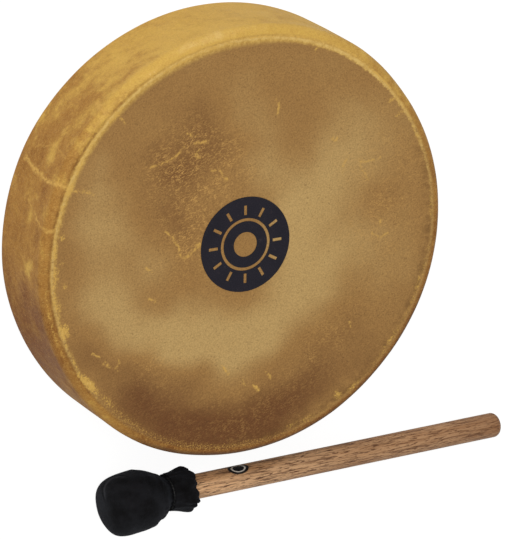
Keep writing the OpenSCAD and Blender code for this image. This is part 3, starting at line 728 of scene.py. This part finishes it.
def twisted(name, points, radius, gap=1.1, twist=0.55, lobe=0.12, taper=2):
    """Sweeps a lobed strip along a path in millimetres, twisting as it goes, and makes it a mesh."""
    points = evenly(points, gap)
    section = bpy.data.curves.new(name + "_section", "CURVE")
    section.dimensions = "2D"
    ring = section.splines.new("POLY")
    sides = 10
    ring.points.add(sides - 1)
    for i, point in enumerate(ring.points):
        a = 2 * pi * i / sides
        r = radius * (1 - lobe + lobe * cos(2 * a)) * mm
        point.co = (r * cos(a), r * sin(a), 0, 1)
    ring.use_cyclic_u = True
    former = bpy.data.objects.new(name + "_section", section)
    bpy.context.scene.collection.objects.link(former)
    data = bpy.data.curves.new(name, "CURVE")
    data.dimensions = "3D"
    data.bevel_mode = "OBJECT"
    data.bevel_object = former
    data.use_fill_caps = True
    data.twist_mode = "MINIMUM"
    spline = data.splines.new("POLY")
    spline.points.add(len(points) - 1)
    for i, (point, place) in enumerate(zip(spline.points, points)):
        end = min(i, len(points) - 1 - i)
        point.co = (*(place * mm), 1)
        point.tilt = twist * i * gap
        point.radius = 1.0 if end >= taper else 0.6 + 0.4 * end / taper
    piece = bpy.data.objects.new(name, data)
    bpy.context.scene.collection.objects.link(piece)
    only(piece)
    bpy.ops.object.convert(target="MESH")
    bpy.data.objects.remove(former)
    piece = bpy.context.object
    bpy.ops.object.mode_set(mode="EDIT")
    tidy(1e-7)
    bpy.ops.object.mode_set(mode="OBJECT")
    bpy.ops.object.shade_smooth_by_angle(angle=radians(50))
    return piece


# The path of one lace, with its strands side by side along +X and its turns round the ring's bar
top, low = ring_z + strand_step / 2, ring_z - strand_step / 2
strand_bend = 2.0
lace_path = knot_at(0, True)
lace_path += rounded(hole_at(0, knot_z), hole_at(0, lace_low), Vector((bundle_out, -strand_step, top)),
                     lace_r)
for strand in (-1, 0, 1):
    y = strand * strand_step
    bar_x = (ring_r ** 2 - y ** 2) ** 0.5
    hole = 2 * strand + 3
    lace_path += rounded(lace_path[-1], Vector((bundle_out, y, top)), Vector((bundle_in, y, top)),
                         strand_bend)
    lace_path += [Vector((bundle_in, y, top))]
    for a in range(70, 291, 10):
        lace_path += [Vector((bar_x + loop_r * cos(radians(a)), y, ring_z + loop_r * sin(radians(a))))]
    lace_path += [Vector((bundle_in, y, low))]
    lace_path += rounded(Vector((bundle_in, y, low)), Vector((bundle_out, y, low)),
                         hole_at(hole, lace_low), strand_bend)
    stitch = [lace_path[-1], hole_at(hole, lace_low)]
    if strand < 1:
        stitch += [hole_at(hole, lace_high), hole_at(hole + 1, lace_high), hole_at(hole + 1, lace_low),
                   Vector((bundle_out, y + strand_step, top))]
    else:
        stitch += [hole_at(hole, knot_z)]
    for before, corner, after in zip(stitch, stitch[1:], stitch[2:]):
        lace_path += rounded(before, corner, after, lace_r)
lace_path += knot_at(hole, False)

rawhide, tree, shader, here = finish("rawhide", Roughness=0.5, Coat_Weight=0.15, Coat_Roughness=0.4)
grain = put(tree, "Group", {"Point": here, "Mottle": 120.0, "Grain": 1400.0}, node_tree=hide).outputs
color = tint(tree, steps(tree, grain["Cloudy"], 0.32, 0.68), srgb(176, 138, 84), srgb(222, 194, 142))
color = tint(tree, times(tree, grain["Fleck"], 0.4), color, srgb(236, 216, 172))
color = tint(tree, times(tree, grain["Pit"], 0.5), color, srgb(122, 86, 48))
tree.links.new(color, shader.inputs["Base Color"])
tree.links.new(steps(tree, grain["Cloudy"], 0.3, 0.7, 0.38, 0.62), shader.inputs["Roughness"])
relief(tree, shader, grain["Height"], 0.0003)

# Over each arm's six strands a second strip is wound turn by turn, from the ring outwards, and its
# ends are tucked under, which makes the grip
wrap_r, wrap_pitch, wrap_turns, wrap_start = 3.3, 3.5, 7, 27.3
per_turn = 40
wrap_path = []
for step in range(wrap_turns * per_turn):
    quarter, along = divmod(step % per_turn, per_turn // 4)
    a = pi / 2 * (quarter + along * 4 / per_turn)
    beside = strand_step if quarter in (0, 3) else -strand_step
    above = strand_step / 2 if quarter < 2 else -strand_step / 2
    wrap_path.append(Vector((wrap_start + wrap_pitch * step / per_turn + lace_r,
                             beside + wrap_r * cos(a), ring_z + above + wrap_r * sin(a))))
for arm in range(4):
    turn = Matrix.Rotation(arm * pi / 2, 3, "Z")
    for name, path, gap, replaced in (("lace", lace_path, 1.1, "lace_"),
                                      ("wrap", wrap_path, 0.9, "grip_wrap_")):
        piece = twisted(f"{name}_arm_{arm + 1}", [turn @ p for p in path], lace_r, gap, lobe=0.1)
        coat(piece, rawhide)
        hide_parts(f"{replaced}{arm + 1}")
        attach(piece, "drum")


# The beater's handle is a plain hardwood dowel with a rounded butt, oiled, with short dark pores
# along its grain. A small plain oval is printed on it behind the ball.
handle_r, ball_r, butt_r, handle_reach = 9.15, 23.3, 4.5, 309.0
beater_x, beater_gap, floor_gap = -65.6, 14.75, 0.1
slope = asin((ball_r - handle_r) / (handle_reach - butt_r))
beater_at = Vector((beater_x, -(drum_r + beater_gap + ball_r), ball_r + floor_gap)) * mm
beater_place = Matrix.Translation(beater_at) @ Matrix.Rotation(slope, 4, "Y")
oval_at, oval_length, oval_turn, oval_width = 0.0848, 0.0087, 0.31, 0.6


def along_beater(tree, here):
    """Coordinates with the ball's middle as their origin and the handle along X."""
    return mapped(tree, mapped(tree, here, Location=-beater_at), Rotation=(0, -slope, 0))


handle_wood, tree, shader, here = finish("handle_wood", Roughness=0.5, Specular_IOR_Level=0.25)
lengthwise = along_beater(tree, here)
grain = put(tree, "Group", {"Point": mapped(tree, lengthwise, Scale=(0.06, 1.0, 1.0)),
                            "Bands": 170.0, "Pores": 800.0}, node_tree=timber).outputs
dashes = cloud(tree, mapped(tree, lengthwise, Scale=(0.09, 1.0, 1.0)), 1500.0, 3.0, 0.6)
dashes = steps(tree, dashes, 0.55, 0.61)
broad = cloud(tree, mapped(tree, lengthwise, Scale=(0.35, 1.0, 1.0)), 26.0, 3.0, 0.5)
color = tint(tree, steps(tree, grain["Figure"], 0.38, 0.62), srgb(244, 196, 148), srgb(208, 158, 112))
color = tint(tree, steps(tree, broad, 0.35, 0.7, 0.0, 0.3), color, srgb(164, 122, 80))
color = tint(tree, steps(tree, grain["Fibre"], 0.40, 0.72, 0.0, 0.6), color, srgb(132, 90, 56))
color = tint(tree, times(tree, grain["Pore"], 0.6), color, srgb(86, 58, 42))
color = tint(tree, times(tree, dashes, 0.95), color, srgb(88, 52, 30))
spot = put(tree, "SeparateXYZ", {0: lengthwise}).outputs
browner = put(tree, "MapRange", {0: spot[0], 1: 0.06, 2: 0.31, 3: 0.0, 4: 0.75}).outputs[0]
color = tint(tree, browner, color, srgb(118, 76, 44))
across = maths(tree, "ARCTAN2", spot[2], spot[1])
spot_x = maths(tree, "DIVIDE", maths(tree, "SUBTRACT", spot[0], oval_at), oval_length)
spot_y = maths(tree, "DIVIDE", maths(tree, "SUBTRACT", across, oval_turn), oval_width)
spot_far = maths(tree, "ADD", times(tree, spot_x, spot_x), times(tree, spot_y, spot_y))
spot_far = maths(tree, "SQRT", spot_far)
oval = steps(tree, spot_far, 1.0, 0.93)
line = times(tree, steps(tree, spot_far, 0.52, 0.56), steps(tree, spot_far, 0.70, 0.66))
color = tint(tree, oval, color, srgb(10, 9, 10))
color = tint(tree, times(tree, line, 0.9), color, srgb(232, 224, 212))
tree.links.new(color, shader.inputs["Base Color"])
tree.links.new(steps(tree, grain["Fibre"], 0.3, 0.8, 0.42, 0.6), shader.inputs["Roughness"])
relief(tree, shader, maths(tree, "SUBTRACT", grain["Height"], times(tree, dashes, 0.8)), 0.00018)
coat(nodes["beater_handle"], handle_wood)


# The ball's core is pressed wool felt, bored and glued on the handle. The cover hides it.
core_felt, tree, shader, here = finish("core_felt", Roughness=0.95, Sheen_Weight=0.3)
fibres = cloud(tree, here, 900.0, 4.0, 0.75)
tree.links.new(tint(tree, steps(tree, fibres, 0.3, 0.7), srgb(202, 196, 182), srgb(232, 228, 216)),
               shader.inputs["Base Color"])
relief(tree, shader, fibres, 0.0006)
coat(nodes["beater_core"], core_felt)


# The cover is a disc of black suede, drawn over the felt and gathered behind it. Past the tie its
# free edge is left long: it flares in folds, falls back over the cord and ends in a ragged rim.
ball_front, ball_back, front_bulge, back_bulge, ball_lean = 25.2, 29.6, 3.5, 1.82, radians(4)
neck_r, cover_t = 11.0, 1.2
tie_pitch, tie_turns, tie_d = 1.65, 3, 1.2
ball_end = ball_back * (1 - (neck_r / ball_r) ** back_bulge) ** (1 / back_bulge)
tie_start = ball_end + tie_pitch
ruffle_start = tie_start + tie_turns * tie_pitch + tie_d
columns = 144
outline = []
for a in [0] + span(0, pi / 2, 28):
    outline.append((-ball_front * cos(a) ** (2 / front_bulge), 0, ball_r * sin(a) ** (2 / front_bulge)))
for a in span(0, np.arccos((neck_r / ball_r) ** (back_bulge / 2)), 20):
    outline.append((ball_back * sin(a) ** (2 / back_bulge), 0, ball_r * cos(a) ** (2 / back_bulge)))
outline += [(x, 0, neck_r) for x in span(ball_end, ruffle_start, 7)]
# The ruffle's section: distance past the tie and distance from the handle's middle
ruffle = [
    (-0.3, 11.8), (-0.9, 12.7), (-2.2, 12.9), (-3.8, 13.0), (-5.2, 13.1), (-6.2, 13.4), (-6.0, 13.8),
    (-4.2, 14.0), (-2.4, 14.2), (-0.4, 14.6), (1.8, 15.0), (3.8, 15.3), (6.0, 15.6), (8.2, 15.8),
    (10.0, 15.7), (11.4, 15.3), (12.5, 14.8), (13.3, 14.0),
]
outline += [(ruffle_start + x, 0, r) for x, r in ruffle]
cover = turned("beater_suede", outline, (1, 0, 0), columns)


def zigzag(value):
    """Goes from -1 to 1 and back, in straight lines, while value grows by 1."""
    return 4 * abs(value - floor(value + 0.5)) - 1


# Gathers run from the neck over the ball's back. Past the tie the loose edge has a few broad lobes,
# sharper creases between them, a crumple over both, and two corners of the disc that stand out.
gathers, lobes, creases, over_tie_r = 15, 6, 13, 12.9
places = corners_of(cover) / mm
for k, (x, y, z) in enumerate(places):
    r, a = hypot(y, z), atan2(z, y)
    if r > 8 and x > 0:
        drift = lumps(x * 0.06, y * 0.08, z * 0.08)
        gathered = max(0.0, 1 - abs(x - ball_end - 2) / 12)
        r += 0.4 * gathered * cos(gathers * a + 1.4 * drift)
        loose = ramped(r, 12.2, 14.6) * (x > ball_end)
        past = x - ruffle_start
        spread = ramped(past, -5, 9)
        lobe = zigzag(lobes * a / (2 * pi) + 0.4 * drift + 0.012 * past - 0.24)
        crease = zigzag(creases * a / (2 * pi) - 0.03 * past + 0.6 * drift)
        crumple = lumps(x * 0.12, y * 0.16, z * 0.16) + 0.4 * lumps(x, y, z, 0.4)
        corner = max(0.0, cos(a - 1.62)) ** 24 + 0.8 * max(0.0, cos(a + 1.3)) ** 24
        r += loose * ((0.1 + 1.2 * spread ** 2) * lobe + (0.2 + 0.6 * spread) * crease + 0.8 * crumple)
        r += loose * 1.2 * corner * max(0.0, 1 - ((past - 6) / 7) ** 2)
        x += loose * spread * (0.7 * crease + 1.8 * lumps(a * 1.4, x * 0.1, 5))
        if x > ball_end + 1 and loose > 0.25:
            r = max(r, over_tie_r)
        y, z = r * cos(a), r * sin(a)
    dent = 1 + 0.018 * lumps(x, y, z, 0.05) * ramped(ball_end - x, 0, 9)
    angle = ball_lean * ramped(ball_end + 1 - x, 0, 5)
    ahead = (x - ball_end) * dent
    y, z = y * dent, z * dent
    places[k] = (ball_end + ahead * cos(angle) - y * sin(angle), ahead * sin(angle) + y * cos(angle), z)
move_corners(cover, places * mm)
cover.data.transform(beater_place)
only(cover)
held = cover.vertex_groups.new(name="held")
held_from = (ball_end - 4) * mm
from_ball = beater_place.inverted()
for vertex in cover.data.vertices:
    held.add([vertex.index], 1.0 if (from_ball @ vertex.co).x > held_from else 0.0, "REPLACE")

# The suede is stretched over the felt: a short run of cloth under pressure gives it its soft dents.
# The neck and the ruffle are held, and no point moves further than cloth_move.
cloth_move = 0.7 * mm
before = corners_of(cover)
cloth = cover.modifiers.new("stuffing", "CLOTH")
cloth.settings.quality = 6
cloth.settings.mass = 0.3
cloth.settings.use_pressure = True
cloth.settings.uniform_pressure_force = 4
cloth.settings.shrink_min = -0.035
cloth.settings.bending_stiffness = 0.4
cloth.settings.effector_weights.gravity = 0
cloth.settings.vertex_group_mass = held.name
for number in range(1, 21):
    bpy.context.scene.frame_set(number)
shown = cover.evaluated_get(bpy.context.evaluated_depsgraph_get())
after = np.empty(len(shown.data.vertices) * 3)
shown.data.vertices.foreach_get("co", after)
moved = after.reshape(-1, 3) - before
far = np.linalg.norm(moved, axis=1, keepdims=True)
cover.modifiers.remove(cloth)
move_corners(cover, before + moved * np.minimum(1, cloth_move / np.maximum(far, 1e-9)))
bpy.context.scene.frame_set(1)
only(cover)
wall = cover.modifiers.new("leather", "SOLIDIFY")
wall.thickness = cover_t * mm
wall.offset = -1
wall.vertex_group = held.name
wall.invert_vertex_group = True
wall.thickness_vertex_group = 0.6
bpy.ops.object.modifier_apply(modifier=wall.name)
finer = cover.modifiers.new("finer", "SUBSURF")
finer.levels = finer.render_levels = 1
bpy.ops.object.modifier_apply(modifier=finer.name)
bpy.ops.object.shade_smooth()

black_suede, tree, shader, here = finish(
    "black_suede", Roughness=0.95, Sheen_Weight=0.12, Sheen_Roughness=0.5, Sheen_Tint=srgb(120, 128, 142),
    Specular_IOR_Level=0.1)
grain = put(tree, "Group", {"Point": here, "Mottle": 62.0, "Grain": 1500.0}, node_tree=hide).outputs
color = tint(tree, steps(tree, grain["Cloudy"], 0.34, 0.66), srgb(6, 5, 5), srgb(26, 26, 29))
color = tint(tree, times(tree, grain["Fleck"], 0.3), color, srgb(34, 34, 37))
tree.links.new(color, shader.inputs["Base Color"])
nap = cloud(tree, here, 2600.0, 2.0, 0.7)

# A short seam closes the cover on the ball's outer side, with a paler lip beside it
seam_turn, seam_at = (-0.52, 0.621, 0.587), 0.0172
on_axis = along_beater(tree, here)
from_seam = maths(tree, "SUBTRACT", vectors(tree, "DOT_PRODUCT", on_axis, seam_turn), seam_at)
from_seam = swayed(tree, from_seam, cloud(tree, here, 90.0, 2.0, 0.5), 0.003)
lengths = put(tree, "SeparateXYZ", {0: on_axis}).outputs
seam_there = times(tree, steps(tree, lengths[0], -0.004, -0.012), steps(tree, lengths[2], 0.005, 0.001))
seam = steps(tree, maths(tree, "ABSOLUTE", from_seam), 0.0011, 0.0004, 0.0, 0.95)
lip = maths(tree, "ABSOLUTE", maths(tree, "SUBTRACT", from_seam, 0.0017))
lip = steps(tree, lip, 0.0012, 0.0003, 0.0, 0.4)
color = tint(tree, times(tree, lip, seam_there), color, srgb(62, 62, 66))
color = tint(tree, times(tree, seam, seam_there), color, srgb(1, 1, 1))
tree.links.new(color, shader.inputs["Base Color"])
relief(tree, shader, maths(tree, "ADD", times(tree, nap, 0.5), grain["Height"]), 0.0005)
coat(cover, black_suede)
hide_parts("beater_cover")
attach(cover, "beater")


# The tie is waxed black cord, wound three times round the gathered neck and pulled tight. It lies
# where the solid's tie lies, which takes 16 straight steps for a turn.
solid_steps, tie_gap, per_turn = 16, 0.1, 48
tie_r = (neck_r + tie_d / 2 + tie_gap) / cos(pi / solid_steps)
tie_path = []
for step in range(tie_turns * per_turn + 1):
    a = 2 * pi * step / per_turn
    place = Vector((tie_start + tie_pitch * step / per_turn, tie_r * cos(a), tie_r * sin(a)))
    tie_path.append(beater_place @ (place * mm) / mm)
tie = twisted("neck_tie", tie_path, tie_d / 2, gap=0.8, twist=1.3, lobe=0.14)
waxed_cord, tree, shader, here = finish("waxed_cord", Roughness=0.45)
strands = cloud(tree, here, 1800.0, 2.0, 0.6)
tree.links.new(tint(tree, strands, srgb(8, 8, 8), srgb(22, 21, 22)), shader.inputs["Base Color"])
relief(tree, shader, strands, 0.0002)
coat(tie, waxed_cord)
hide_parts("beater_tie")
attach(tie, "beater")


# The studio: a pale paper floor, a broad soft lamp over the far side of the drum, and a pale room.
# The floor and the room show white to the camera, and add no light of their own for it.
bpy.ops.object.select_all(action="DESELECT")
bpy.ops.mesh.primitive_plane_add(size=12, location=(0, 0, -0.0002))
paper_floor = bpy.context.object
paper_floor.name = "floor"
paper, tree, shader, here = finish("paper", Roughness=0.9)
shader.inputs["Base Color"].default_value = (0.86, 0.86, 0.86, 1)
shown_white = put(tree, "Emission", {"Color": (1, 1, 1, 1), "Strength": 1.15})
seen = put(tree, "LightPath").outputs
seen_white = times(tree, seen["Is Camera Ray"], 0.8)
mixed = put(tree, "MixShader", {0: seen_white, 1: shader.outputs[0], 2: shown_white.outputs[0]})
tree.links.new(mixed.outputs[0], tree.nodes["Material Output"].inputs[0])
coat(paper_floor, paper)

world = bpy.data.worlds.new("room")
bpy.context.scene.world = world
world.use_nodes = True
tree = world.node_tree
tree.nodes.clear()
seen = put(tree, "LightPath").outputs
shine = maths(tree, "MAXIMUM", seen["Is Camera Ray"], maths(tree, "MAXIMUM", seen["Is Glossy Ray"],
                                                            seen["Is Transmission Ray"]))
pale = put(tree, "Background", {"Color": (1, 1, 1, 1), "Strength": 1.0})
dim = put(tree, "Background", {"Color": (1, 0.99, 0.97, 1), "Strength": 0.55})
room = put(tree, "MixShader", {0: shine, 1: dim.outputs[0], 2: pale.outputs[0]})
put(tree, "OutputWorld", {0: room.outputs[0]})

lamp_at = Vector((-1.39, 1.65, 2.5))
lamp = bpy.data.objects.new("soft_lamp", bpy.data.lights.new("soft_lamp", "AREA"))
lamp.data.size = 1.6
lamp.data.energy = 48
lamp.data.color = (1.0, 0.98, 0.95)
lamp.location = lamp_at
lamp.rotation_euler = (-lamp_at).to_track_quat("-Z", "Y").to_euler()
bpy.context.scene.collection.objects.link(lamp)
bpy.context.scene.view_settings.view_transform = "Standard"
